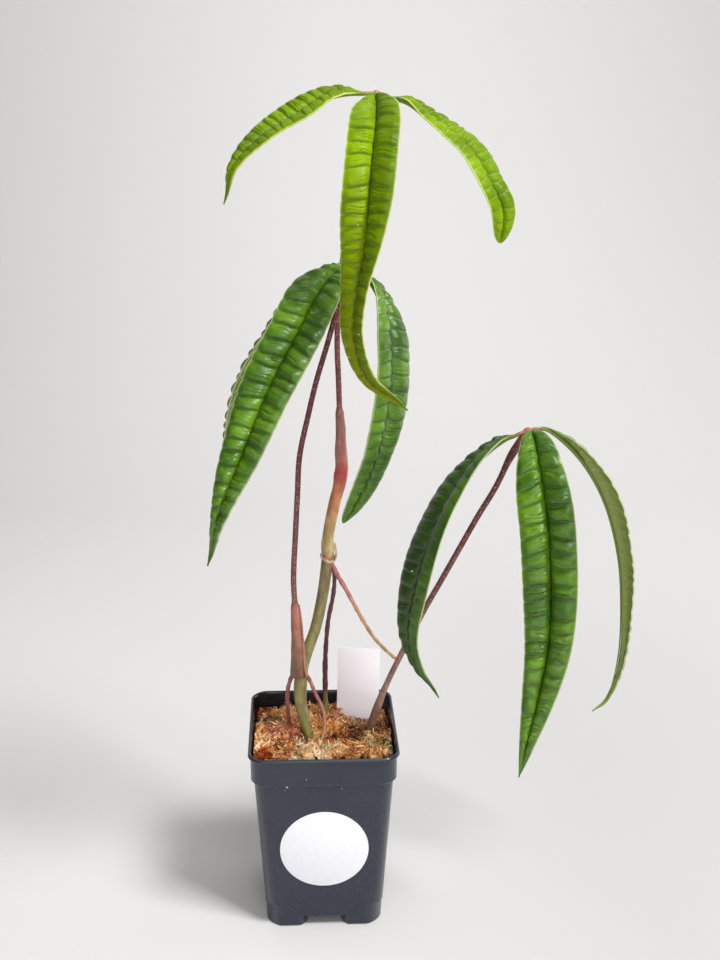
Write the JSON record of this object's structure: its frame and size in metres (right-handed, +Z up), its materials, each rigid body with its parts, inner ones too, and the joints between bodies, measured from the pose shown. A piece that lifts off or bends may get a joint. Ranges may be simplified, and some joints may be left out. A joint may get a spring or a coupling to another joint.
{
  "type": "potted anthurium cutucuense",
  "caption": "Young climbing aroid in a square dark pot of moss: one upright stem, long leaf stalks and leaves of drooping ribbed leaflets, with aerial roots and a blank tag.",
  "frame": {"origin": "on the table under the middle of the bounding box; the middle of the pot's base is 45 mm along -X and 14 mm along +Y from it", "axes": "+Z up, -Y towards the side with the sticker, +X to the right seen from that side"},
  "size_m": [0.1795, 0.0929, 0.3546],
  "materials": {
    "stem": "satin green and tan stem",
    "petiole": "satin maroon stalk with pale specks",
    "root": "matte pinkish tan root",
    "root_dark": "satin dark maroon root",
    "leaf_new": "satin yellow-green leaf",
    "leaf_old": "satin deep green leaf",
    "pot": "satin anthracite polypropylene",
    "sticker": "matte white film",
    "moss": "rough tan moss",
    "tag": "matte white plastic"
  },
  "bodies": {
    "root": {"stem": "stem", "petiole_top": "petiole", "petiole_middle": "petiole", "petiole_right": "petiole", "root_long": "root", "root_dark": "root_dark", "root_left": "root", "root_right": "root", "leaflet_top_middle": "leaf_new", "leaflet_top_left": "leaf_new", "leaflet_top_right": "leaf_new", "leaflet_mid_front": "leaf_old", "leaflet_mid_right": "leaf_old", "leaflet_mid_back": "leaf_old", "leaflet_right_middle": "leaf_old", "leaflet_right_left": "leaf_old", "leaflet_right_right": "leaf_old", "pot": "pot", "pot_sticker": "sticker", "moss": "moss", "plant_label": "tag"}
  },
  "joints": []
}
